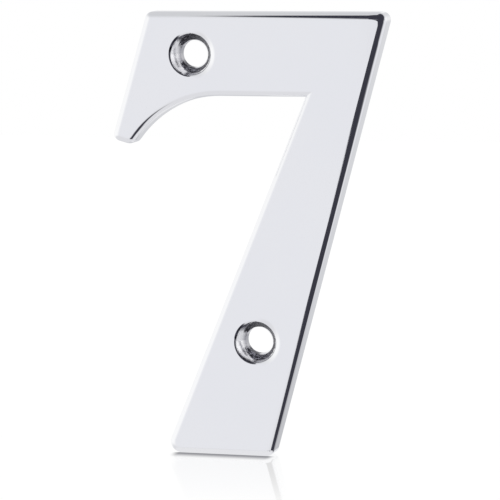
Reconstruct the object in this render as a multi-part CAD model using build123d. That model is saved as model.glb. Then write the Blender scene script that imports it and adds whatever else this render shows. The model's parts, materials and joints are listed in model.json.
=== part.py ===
from build123d import *
import os
from math import atan, cos, degrees, radians, sin, sqrt, tan

# Door numeral seven: one cast plate with a rolled front edge and two countersunk screw holes.
# Millimetres and degrees. X runs to the right seen from the front, Z is up, the front faces -Y.
# The back lies in the plane Y = 0, and the origin is midway between the two screw holes.

# Overall sizes
numeral_height = 76.0
plate_thickness = 4.0
bar_length = 42.25
bar_depth = 14.25
foot_width = 19.1

# How far each sloping edge leans from the upright
right_edge_lean = 15.25
stem_edge_lean = 22.3
bar_end_lean = 16.5

# The hook at the left end of the bar: how far it drops below the top edge, its blunt end,
# and the round curve from that end up to the underside of the bar
hook_drop = 21.8
hook_end_width = 3.72
hook_end_slope = 15.5
hook_curve_radius = 18.75

# Rounding of the outline's corners, and of the front edge all the way round
corner_radius = 1.4
foot_left_corner_radius = 1.9
bar_end_corner_radius = 1.2
hook_heel_radius = 1.4
front_edge_radius = 1.15

# Screw holes: where each one sits, then the hole itself and its countersink
upper_hole_below_top = 7.2
upper_hole_from_bar_end = 10.0
lower_hole_above_foot = 19.8
lower_hole_from_right_edge = 8.0
screw_hole_diameter = 4.7
countersink_diameter = 7.2
countersink_depth = 2.3
countersink_lip_radius = 0.45

# Corners of the outline, as X and Z from the right end of the foot
right_slope = tan(radians(right_edge_lean))
stem_slope = tan(radians(stem_edge_lean))
bar_end_slope = tan(radians(bar_end_lean))
underside = numeral_height - bar_depth
foot_right = (0, 0)
foot_left = (-foot_width, 0)
inner_corner = (-foot_width + stem_slope * underside, underside)
top_right = (right_slope * numeral_height, numeral_height)
top_left = (top_right[0] - bar_length, numeral_height)
hook_tip = (top_left[0] - bar_end_slope * hook_drop, numeral_height - hook_drop)
hook_heel = (
    hook_tip[0] + hook_end_width * cos(radians(hook_end_slope)),
    hook_tip[1] - hook_end_width * sin(radians(hook_end_slope)),
)

# The curve starts where a circle of its radius, through the heel, touches the underside
heel_below_underside = underside - hook_heel[1]
curve_reach = sqrt(hook_curve_radius**2 - (hook_curve_radius - heel_below_underside) ** 2)
curve_start = (hook_heel[0] + curve_reach, underside)

# Centres of the screw holes, and the point midway between them
upper_hole = (
    top_left[0] - bar_end_slope * upper_hole_below_top + upper_hole_from_bar_end,
    numeral_height - upper_hole_below_top,
)
lower_hole = (right_slope * lower_hole_above_foot - lower_hole_from_right_edge, lower_hole_above_foot)
screw_middle = ((upper_hole[0] + lower_hole[0]) / 2, (upper_hole[1] + lower_hole[1]) / 2)


def plate_outline():
    """The plate seen from the front: straight edges, the hook's curve and rounded outer corners."""
    edges = TangentArc(curve_start, hook_heel, tangent=(-1, 0))
    edges += Polyline(hook_heel, hook_tip, top_left, top_right, foot_right, foot_left, inner_corner, curve_start)
    outline = make_face(edges)
    for corner, radius in (
        (top_left, bar_end_corner_radius),
        (hook_tip, bar_end_corner_radius),
        (hook_heel, hook_heel_radius),
        (top_right, corner_radius),
        (foot_right, corner_radius),
        (foot_left, foot_left_corner_radius),
    ):
        outline = fillet(outline.vertices().sort_by_distance(corner)[0], radius)
    return outline


def cast_plate():
    """The outline raised forward from the back plane, with its whole front edge rolled over."""
    plate = extrude(Plane.XZ * plate_outline(), plate_thickness)
    front_face = plate.faces().sort_by(Axis.Y)[0]
    return fillet(front_face.edges(), front_edge_radius)


def drill_screw_holes(plate):
    """Cuts the two countersunk holes from the front and rounds the lip of each countersink."""
    front = Plane.XZ.offset(plate_thickness)
    countersink_spread = (countersink_diameter - screw_hole_diameter) / 2
    hole = CounterSinkHole(
        radius=screw_hole_diameter / 2,
        counter_sink_radius=countersink_diameter / 2,
        depth=plate_thickness,
        counter_sink_angle=2 * degrees(atan(countersink_spread / countersink_depth)),
    )
    mouths = [front * Pos(*centre) for centre in (upper_hole, lower_hole)]
    for mouth in mouths:
        plate -= mouth * hole
    front_edges = plate.edges().group_by(Axis.Y)[0]
    lips = [front_edges.sort_by_distance(mouth.position)[0] for mouth in mouths]
    return fillet(lips, countersink_lip_radius)


numeral_seven = Pos(-screw_middle[0], 0, -screw_middle[1]) * drill_screw_holes(cast_plate())

os.makedirs("parts", exist_ok=True)
export_step(numeral_seven, "parts/numeral_seven.step")
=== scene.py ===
import json
from math import atan, cos, degrees, pi, radians, sin, tan

import bpy
from mathutils import Matrix, Vector


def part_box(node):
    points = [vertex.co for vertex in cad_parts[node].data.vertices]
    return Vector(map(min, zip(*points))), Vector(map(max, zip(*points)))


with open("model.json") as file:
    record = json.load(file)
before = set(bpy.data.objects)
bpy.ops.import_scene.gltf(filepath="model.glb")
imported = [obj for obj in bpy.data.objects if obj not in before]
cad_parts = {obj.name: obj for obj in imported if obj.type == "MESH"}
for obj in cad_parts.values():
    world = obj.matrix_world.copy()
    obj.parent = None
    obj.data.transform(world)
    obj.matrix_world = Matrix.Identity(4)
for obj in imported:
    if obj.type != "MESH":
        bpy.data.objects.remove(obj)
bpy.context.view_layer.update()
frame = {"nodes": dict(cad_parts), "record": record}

MM = 0.001
HAIR = 0.001 * MM
DEGREES = degrees(1.0)
WHITE = (1, 1, 1, 1)
BLACK = (0, 0, 0, 1)

# The numeral, its box and its screw holes, from the frame
numeral = frame["nodes"]["numeral_seven"]
LOW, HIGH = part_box("numeral_seven")
FRONT = LOW.y
BACK = HIGH.y
FLOOR = LOW.z
BORES = [mount for mount in frame["record"]["mounts"] if mount["kind"] == "bore"]
SCREW_HOLES = [Vector(bore["pos_m"]) for bore in BORES]
HOLE_RADIUS = BORES[0]["dims"]["r_mm"] * MM
PLAIN_BORE = BORES[0]["dims"]["length_mm"] * MM

# The edge that the numeral stands on
FOOT_CORNERS = [corner.co for corner in numeral.data.vertices if corner.co.z < FLOOR + 0.05 * MM]
FOOT_LEFT = min(corner.x for corner in FOOT_CORNERS)
FOOT_RIGHT = max(corner.x for corner in FOOT_CORNERS)
FOOT_FRONT = min(corner.y for corner in FOOT_CORNERS)

# The countersinks, and the rounded lip from the face down to the wall of each
SINK_RADIUS = 3.6 * MM
SINK_DEPTH = BACK - FRONT - PLAIN_BORE
LIP_RADIUS = 0.45 * MM
LIP_TURN = pi / 2 - atan((SINK_RADIUS - HOLE_RADIUS) / SINK_DEPTH)
LIP_OUTSIDE = SINK_RADIUS + LIP_RADIUS * tan(LIP_TURN / 2)
LIP_INSIDE = LIP_OUTSIDE - LIP_RADIUS * sin(LIP_TURN)

# Polishing has eased the face down towards the right of each lip: where that starts and how steep it gets.
# It has left the lip sharper at the lower left: how much faster the curve turns there
EASED_OUTSIDE = LIP_OUTSIDE + 0.8 * MM
EASED_SLOPE = 0.42
SHARPER_SHARE = 0.6

# Where the painted shade in each countersink begins: inside this distance from the axis, a little further out
# at the top and further in on the left, with an uneven border
SHADE_BORDER = 3.42 * MM
SHADE_BORDER_OUT_ABOVE = 0.15 * MM
SHADE_BORDER_IN_ON_LEFT = 0.7 * MM
SHADE_BORDER_UNEVEN = 0.5 * MM

# Where the painted dark reflection along the upper left of each lip lies, by distance from the hole's axis
PAINTED_ARC_INSIDE = 3.50 * MM
PAINTED_ARC_OUTSIDE = 3.85 * MM

# The top right corner of the face, which buffing has softened: the middle of the long oval that stays flat
# there, how high the oval reaches, how much longer it is than high, and how steeply the face falls away
# beyond it
BUFFED_CORNER = HIGH - Vector((2.95, 0.0, 1.55)) * MM
BUFFED_REACH = 0.4 * MM
BUFFED_STRETCH = 4.0
BUFFED_SLOPE = 0.25

# The white sheet: how far it goes, how strongly it mirrors close to the foot and where that starts to fade
# and ends, how far the painted contact shadow before the foot reaches, and where mirrored rays lose sight of
# the sheet
SHEET_REACH = 600.0 * MM
SHEET_GLOSS = 0.27
GLOSS_FADES = 4.0 * MM
GLOSS_ENDS = 60.0 * MM
PAINTED_SHADOW_REACH = 4.5 * MM
MIRRORED_TO = 2.2 * MM
MIRRORED_END = 3.2 * MM

# The camera: where it stands round the numeral, in degrees, how far off, and the point it looks at
CAMERA_TO_THE_RIGHT = 15.55
CAMERA_ABOVE = 7.08
CAMERA_ROLL = -0.51
CAMERA_DISTANCE = 509.8 * MM
LENS_PER_SENSOR_WIDTH = 6.0
AIM = Vector((4.68 * MM, FRONT, -8.64 * MM))


class Wire:
    """One value in a node tree. Arithmetic on it adds the Math nodes that work it out."""

    def __init__(self, bench, socket):
        self.bench = bench
        self.socket = socket

    def math(self, operation, *others):
        return self.bench.node("ShaderNodeMath", {"operation": operation}, self, *others)

    def __add__(self, other):
        return self.math("ADD", other)

    def __sub__(self, other):
        return self.math("SUBTRACT", other)

    def __mul__(self, other):
        return self.math("MULTIPLY", other)

    def __truediv__(self, other):
        return self.math("DIVIDE", other)

    def __radd__(self, other):
        return self.bench.node("ShaderNodeMath", {"operation": "ADD"}, other, self)

    def __rsub__(self, other):
        return self.bench.node("ShaderNodeMath", {"operation": "SUBTRACT"}, other, self)

    def __rmul__(self, other):
        return self.bench.node("ShaderNodeMath", {"operation": "MULTIPLY"}, other, self)

    def __neg__(self):
        return 0.0 - self

    def lowest(self, other):
        return self.math("MINIMUM", other)

    def highest(self, other):
        return self.math("MAXIMUM", other)

    def rise(self, start, end):
        """0 before start and 1 after end, turning smoothly between them."""
        settings = {"interpolation_type": "SMOOTHSTEP"}
        limits = {"From Min": start, "From Max": end}
        return self.bench.node("ShaderNodeMapRange", settings, Value=self, **limits)

    def fall(self, start, end):
        """1 before start and 0 after end, turning smoothly between them."""
        return 1.0 - self.rise(start, end)

    def within(self, start, end, soft):
        """1 between start and end, fading to 0 over a soft border on each side."""
        return self.rise(start - soft, start + soft) * self.fall(end - soft, end + soft)


class Bench:
    """A node tree that is being wired up."""

    def __init__(self, tree):
        self.tree = tree
        self.tree.nodes.clear()

    def node(self, kind, settings=None, *values, output=0, **named):
        """Adds a node: its settings first, then its sockets in order or by name, as values or as wires."""
        node = self.tree.nodes.new(kind)
        for name, setting in (settings or {}).items():
            setattr(node, name, setting)
        for place, value in [*enumerate(values), *named.items()]:
            if isinstance(value, Wire):
                self.tree.links.new(value.socket, node.inputs[place])
            else:
                node.inputs[place].default_value = value
        return Wire(self, node.outputs[output]) if node.outputs else None

    def parts(self, vector):
        """The three parts of a vector."""
        return [self.node("ShaderNodeSeparateXYZ", None, vector, output=i) for i in range(3)]

    def length(self, across, along):
        """How long a line is that goes so far across and so far along."""
        line = self.node("ShaderNodeCombineXYZ", None, across, along, 0.0)
        return self.node("ShaderNodeVectorMath", {"operation": "LENGTH"}, line, output="Value")

    def pointing(self, across, along, up):
        """The direction of a line that goes so far across, along and up."""
        line = self.node("ShaderNodeCombineXYZ", None, across, along, up)
        return self.node("ShaderNodeVectorMath", {"operation": "NORMALIZE"}, line)

    def blend(self, share, first, second):
        """A direction between two directions."""
        settings = {"data_type": "VECTOR"}
        return self.node("ShaderNodeMix", settings, share, output=1, **{"A": first, "B": second})

    def mix(self, share, first, second):
        """A colour between two colours."""
        return self.node("ShaderNodeMix", {"data_type": "RGBA"}, share, output=2, **{"A": first, "B": second})

    def noise(self, place, scale, detail, roughness):
        """Fine cloudy noise through the object, so many times a metre."""
        return self.node("ShaderNodeTexNoise", None, Vector=place, Scale=scale, Detail=detail,
                         Roughness=roughness)

    def ray(self, kind):
        """1 for rays of this kind, and 0 for others."""
        return self.node("ShaderNodeLightPath", output=kind)


def new_material(name):
    material = bpy.data.materials.new(name)
    material.use_nodes = True
    return material, Bench(material.node_tree)


def pale_surfaces(bench, around, height):
    """The wall in front, the white wall to the left, the floor, the backdrop behind and the ceiling."""
    wall = (0.865, 0.870, 0.905, 1)
    white_wall = (1.06, 1.06, 1.06, 1)
    pale_floor = (0.795, 0.795, 0.82, 1)
    backdrop = (0.74, 0.745, 0.765, 1)
    foot_of_backdrop = (0.68, 0.685, 0.71, 1)
    ceiling = (0.68, 0.685, 0.705, 1)

    to_left = (-around).rise(20.0, 60.0) * height.within(-40.0, 45.0, 15.0)
    room = bench.mix(to_left, wall, white_wall)
    room = bench.mix((-height).rise(10.0, 35.0), room, pale_floor)
    paler_upward = bench.mix((-height).rise(8.0, 14.0), backdrop, foot_of_backdrop)
    room = bench.mix(around.math("ABSOLUTE").rise(125.0, 160.0), room, paler_upward)
    return bench.mix(height.rise(0.0, 55.0), room, ceiling)


def white_paper(around, height):
    """Where white paper stands behind the numeral: a narrow strip to the left, a wide sheet to the right."""
    strip = around.within(-174.0, -155.0, 6.0) * height.within(7.0, 14.0, 4.0)
    sheet = around.within(108.0, 169.0, 8.0) * height.within(-2.0, 19.0, 8.0)
    return strip.highest(sheet)


def low_corner(around, height):
    """Where the shaded corner is, low down behind on the right, between two edges that rise to the back."""
    top_of_shade = 0.21 * around - 52.2
    foot_of_shade = 0.33 * around - 77.2
    return ((top_of_shade - height).rise(-2.5, 3.0)
            * (height - foot_of_shade).rise(-2.0, 2.0)
            * around.within(112.0, 173.0, 5.0))


def dark_opening(around, height):
    """Where it is dark to the right of the camera: an opening, and the edge of the table low down before it.
    The opening's left edge leans a little to the left going up, and swings to the right going down."""
    raised = (height + 3.0).highest(0.0)
    lowered = (-4.6 - height).highest(0.0).lowest(10.3)
    far_down = (-16.7 - height).highest(0.0)
    leaning = raised * (0.085 + 0.0029 * raised)
    swinging = 2.9 * lowered + far_down * (3.2 + 0.045 * far_down)
    left = -12.2 - leaning + swinging
    right = 80.0 + 12.8 * (-22.0 - height).highest(0.0) + 1.3 * (height - 8.0).highest(0.0)
    top = 102.0 - 12.0 * around.rise(20.0, 60.0)
    opening = ((around - left).rise(-1.0, 1.0)
               * (right - around).rise(-16.0, 16.0)
               * (top - height).rise(-6.0, 6.0)
               * height.rise(-38.0, -30.0))
    table_edge = (height + 36.0 + 0.2 * around).within(-8.0, 11.0, 4.0) * around.within(4.0, 52.0, 8.0)
    return opening.highest(table_edge)


def studio_room():
    """The room that the chrome mirrors, by direction in degrees: around is 0 in front, 90 to the right and
    180 behind, and height is 0 at the level of the numeral. The camera and matt surfaces see plain white."""
    shade = (0.36, 0.36, 0.38, 1)
    dark = (0.045, 0.045, 0.060, 1)

    world = bpy.data.worlds.new("studio_room")
    bpy.context.scene.world = world
    world.use_nodes = True
    bench = Bench(world.node_tree)
    to_right, to_back, up = bench.parts(bench.node("ShaderNodeTexCoord", output="Generated"))
    around = to_right.math("ARCTAN2", -to_back) * DEGREES
    height = up.math("ARCSINE") * DEGREES

    room = pale_surfaces(bench, around, height)
    room = bench.mix(white_paper(around, height), room, WHITE)
    room = bench.mix(low_corner(around, height), room, shade)
    room = bench.mix(dark_opening(around, height), room, dark)

    mirrored = bench.ray("Is Glossy Ray").highest(bench.ray("Is Transmission Ray"))
    colour = bench.mix(mirrored, WHITE, room)
    colour = bench.mix(bench.ray("Is Camera Ray"), colour, WHITE)
    background = bench.node("ShaderNodeBackground", None, Color=colour, Strength=1.0)
    bench.node("ShaderNodeOutputWorld", None, background)


def polished_lip(bench, below_face, away, leftward, upward):
    """Where the lip of a countersink and the eased face beside it are, and which way they face there."""
    on_lip = away.within(LIP_INSIDE, EASED_OUTSIDE, HAIR) * below_face.fall(0.3 * MM, 0.4 * MM)
    eased = EASED_SLOPE * (-leftward).rise(-0.1, 0.7) * away.fall(LIP_OUTSIDE, EASED_OUTSIDE)
    sharper = 1.0 + SHARPER_SHARE * (-upward).rise(-0.3, 0.8) * leftward.rise(-0.2, 0.5)
    tilt = (sharper * (LIP_OUTSIDE - away) / LIP_RADIUS).lowest(sin(LIP_TURN)).highest(eased)
    frontward = (1.0 - tilt * tilt).math("SQRT")
    return on_lip, bench.pointing(tilt * leftward, -frontward, -(tilt * upward))


def painted_countersink_shade(away, leftward, upward, uneven):
    """Where shade is painted in a countersink: on its wall all round but the left, and in the bore at the
    lower left.
    """
    shade_border = (SHADE_BORDER + SHADE_BORDER_OUT_ABOVE * upward - SHADE_BORDER_IN_ON_LEFT * leftward.highest(0.0)
                 + SHADE_BORDER_UNEVEN * uneven)
    wall_shade_from = HOLE_RADIUS + 0.3 * MM * (-leftward).highest(0.0)
    on_wall = (away - wall_shade_from).rise(0.0, 0.1 * MM)
    lower_left = (-upward).rise(0.3, 0.6) * leftward.rise(-0.2, 0.1)
    inside_shade_border = (shade_border - away).rise(-0.06 * MM, 0.06 * MM)
    not_on_left = (leftward + 0.4 * uneven).fall(0.76, 0.92)
    return on_wall.highest(lower_left) * inside_shade_border * not_on_left


def chrome_finish():
    """Bright chrome plate: polished in front and along the edges, with mottled painted shade and a painted
    dark reflection in the holes, dull behind.
    """
    plate, hazy_plate = (0.895, 0.900, 0.915, 1), (0.905, 0.908, 0.918, 1)
    # Lighter chrome in the holes, and the grey of the painted shade down the left of the bore
    deep_plate, painted_bore_shade_grey = (0.975, 0.975, 0.985, 1), (0.40, 0.40, 0.43, 1)
    # The dark and light of the painted shade in the countersinks, mottled between them
    painted_shade_dark, painted_shade_light = (0.016, 0.016, 0.026, 1), (0.36, 0.36, 0.42, 1)
    dull_dark, dull_light = (0.66, 0.66, 0.68, 1), (0.76, 0.76, 0.78, 1)
    # The colour of the painted dark reflection along the upper left of each lip
    painted_reflection_dark = (0.06, 0.06, 0.08, 1)

    material, bench = new_material("chrome_plate_finish")
    place = bench.node("ShaderNodeTexCoord", output="Object")
    across, depth, height = bench.parts(place)
    below_face = depth - FRONT

    # Fine grain noise, which mottles the painted shade in the holes and the dull back and roughens them, the
    # haze of polishing, and the faint wave of a buffed face
    grain = bench.noise(place, 2600.0, 5.0, 0.6)
    haze = bench.noise(place, 75.0, 3.0, 0.5)
    wave = bench.noise(place, 420.0, 1.0, 0.4)
    hazy = haze.rise(0.35, 0.7)

    # The countersinks: the curve of each lip, a painted dark reflection along its upper left, painted shade
    # on the walls all round but on the left, and painted shade in the plating down the left of the bore
    normal = bench.node("ShaderNodeNewGeometry", output="Normal")
    from_hole = 1.0
    painted_shade = 0.0
    painted_lip_reflection = 0.0
    painted_bore_shade = 0.0
    for hole in SCREW_HOLES:
        right = across - hole.x
        up = height - hole.z
        away = bench.length(right, up)
        leftward = -right / away
        upward = up / away
        on_lip, lip_normal = polished_lip(bench, below_face, away, leftward, upward)
        normal = bench.blend(on_lip, normal, lip_normal)
        # Painted dark reflection: a dark arc painted along the upper left of each lip
        painted_lip_reflection = painted_lip_reflection + (on_lip * away.within(PAINTED_ARC_INSIDE, PAINTED_ARC_OUTSIDE, 0.04 * MM)
                               * leftward.rise(0.45, 0.65) * upward.rise(0.05, 0.20))
        # Painted shade: the countersink walls are painted dark and mottled, less metallic and rougher, all
        # round but on the left
        painted_shade = painted_shade + painted_countersink_shade(away, leftward, upward, grain - 0.5)
        # Painted shade: the plating is painted grey down the left of the bore
        painted_bore_shade = painted_bore_shade + leftward.rise(0.2, 0.5) * away.fall(HOLE_RADIUS, HOLE_RADIUS + 0.6 * MM)
        from_hole = away.lowest(from_hole)
    on_back = (depth.rise(BACK - 0.06 * MM, BACK - 0.02 * MM)
               * from_hole.rise(HOLE_RADIUS, HOLE_RADIUS + 0.05 * MM))
    in_hole = (1.0 - on_back) * from_hole.fall(LIP_INSIDE, LIP_INSIDE + 0.1 * MM)
    painted_shade = (1.0 - on_back) * painted_shade

    polished = bench.mix(hazy, plate, hazy_plate)
    # The mottled colour of the painted shade in the countersinks
    painted_shade_colour = bench.mix(grain.rise(0.43, 0.66), painted_shade_dark, painted_shade_light)
    dull = bench.mix(grain.rise(0.3, 0.7), dull_dark, dull_light)
    plated = bench.mix(in_hole, polished, bench.mix(painted_bore_shade, deep_plate, painted_bore_shade_grey))
    # The painted dark reflection laid over the plating
    with_painted_lip_reflection = bench.mix(painted_lip_reflection, plated, painted_reflection_dark)
    colour = bench.mix(on_back, bench.mix(painted_shade, with_painted_lip_reflection, painted_shade_colour), dull)
    roughness = (0.03 + 0.02 * hazy + in_hole * (0.03 + 0.08 * grain) + 0.25 * painted_shade
                 + on_back * (0.3 + 0.1 * grain))

    # The softened corner of the face, and fine relief in millimetres
    past_corner = bench.length((across - BUFFED_CORNER.x).highest(0.0) / BUFFED_STRETCH,
                               (height - BUFFED_CORNER.z).highest(0.0).lowest(BUFFED_REACH))
    worn = (past_corner - BUFFED_REACH).highest(0.0)
    relief = (0.0006 * wave + 0.002 * grain * in_hole + 0.006 * grain * on_back
              - worn * (BUFFED_SLOPE / MM))
    bump = bench.node("ShaderNodeBump", None, Strength=1.0, Distance=MM, Height=relief, Normal=normal)
    shader = bench.node("ShaderNodeBsdfPrincipled", None, Metallic=1.0 - 0.85 * painted_shade, Roughness=roughness,
                        Normal=bump, **{"Base Color": colour, "Specular IOR Level": 0.15})
    bench.node("ShaderNodeOutputMaterial", None, shader)
    return material


def sheet_finish():
    """White, and glossy close to the foot, with a painted contact shadow before it. Mirrored rays meet the
    sheet only close to the foot, and pass through it further off."""
    lit_white = (0.98, 0.98, 0.98, 1)
    # The dark of the painted contact shadow
    painted_shadow_dark = (0.05, 0.05, 0.07, 1)
    mirrored_white = (0.83, 0.83, 0.85, 1)
    matt_grey = (0.04, 0.04, 0.04, 1)

    material, bench = new_material("white_sheet")
    across, depth, _ = bench.parts(bench.node("ShaderNodeTexCoord", output="Object"))
    beside = (FOOT_LEFT - across).highest(across - FOOT_RIGHT).highest(0.0)
    before = FOOT_FRONT - depth
    from_foot = bench.length(beside, before.highest(depth - BACK).highest(0.0))
    # Painted contact shadow: a dark line painted on the sheet in front of the foot, fading out over its reach
    painted_contact_shadow = (bench.length(3.0 * beside, before).fall(0.0, PAINTED_SHADOW_REACH)
               * before.rise(-0.4 * MM, 0.2 * MM))
    mirrored = bench.ray("Is Glossy Ray")
    unseen = bench.mix(mirrored, BLACK, mirrored_white)
    colour = bench.mix(bench.ray("Is Camera Ray"), unseen, bench.mix(painted_contact_shadow, lit_white, painted_shadow_dark))
    glow = bench.node("ShaderNodeEmission", None, Color=colour, Strength=1.0)
    sheet = bench.node("ShaderNodeBsdfDiffuse", None, Color=matt_grey)
    matt = bench.node("ShaderNodeAddShader", None, glow, sheet)
    gloss = bench.node("ShaderNodeBsdfGlossy", None, Color=WHITE, Roughness=0.06)
    gloss_share = SHEET_GLOSS * from_foot.fall(GLOSS_FADES, GLOSS_ENDS) * (1.0 - mirrored)
    sheet_with_gloss = bench.node("ShaderNodeMixShader", None, gloss_share, matt, gloss)
    clear = bench.node("ShaderNodeBsdfTransparent")
    out_of_reflections = mirrored * before.highest(2.0 * beside).rise(MIRRORED_TO, MIRRORED_END)
    surface = bench.node("ShaderNodeMixShader", None, out_of_reflections, sheet_with_gloss, clear)
    bench.node("ShaderNodeOutputMaterial", None, surface)
    return material


def white_floor():
    """The flat sheet that the numeral stands on."""
    low, high = -SHEET_REACH, SHEET_REACH
    corners = [(low, low, FLOOR), (high, low, FLOOR), (high, high, FLOOR), (low, high, FLOOR)]
    mesh = bpy.data.meshes.new("white_floor")
    mesh.from_pydata(corners, [], [(0, 1, 2, 3)])
    mesh.materials.append(sheet_finish())
    floor = bpy.data.objects.new("white_floor", mesh)
    bpy.context.scene.collection.objects.link(floor)


def photo_camera():
    """The camera at the photograph's angle."""
    yaw, pitch, roll = (radians(angle) for angle in (CAMERA_TO_THE_RIGHT, CAMERA_ABOVE, CAMERA_ROLL))
    toward = Vector((sin(yaw) * cos(pitch), -cos(yaw) * cos(pitch), sin(pitch)))
    level = Vector((cos(yaw), sin(yaw), 0.0))
    upright = toward.cross(level)
    right = level * cos(roll) + upright * sin(roll)
    up = upright * cos(roll) - level * sin(roll)
    camera = bpy.data.objects.new("photo_camera", bpy.data.cameras.new("photo_camera"))
    camera.data.lens = LENS_PER_SENSOR_WIDTH * camera.data.sensor_width
    turn = Matrix((right, up, toward)).transposed().to_4x4()
    camera.matrix_world = Matrix.Translation(AIM + toward * CAMERA_DISTANCE) @ turn
    bpy.context.scene.collection.objects.link(camera)
    bpy.context.scene.camera = camera


plating = chrome_finish()
for slot in numeral.material_slots:
    slot.material = plating
studio_room()
white_floor()
photo_camera()
bpy.context.scene.view_settings.view_transform = "Standard"
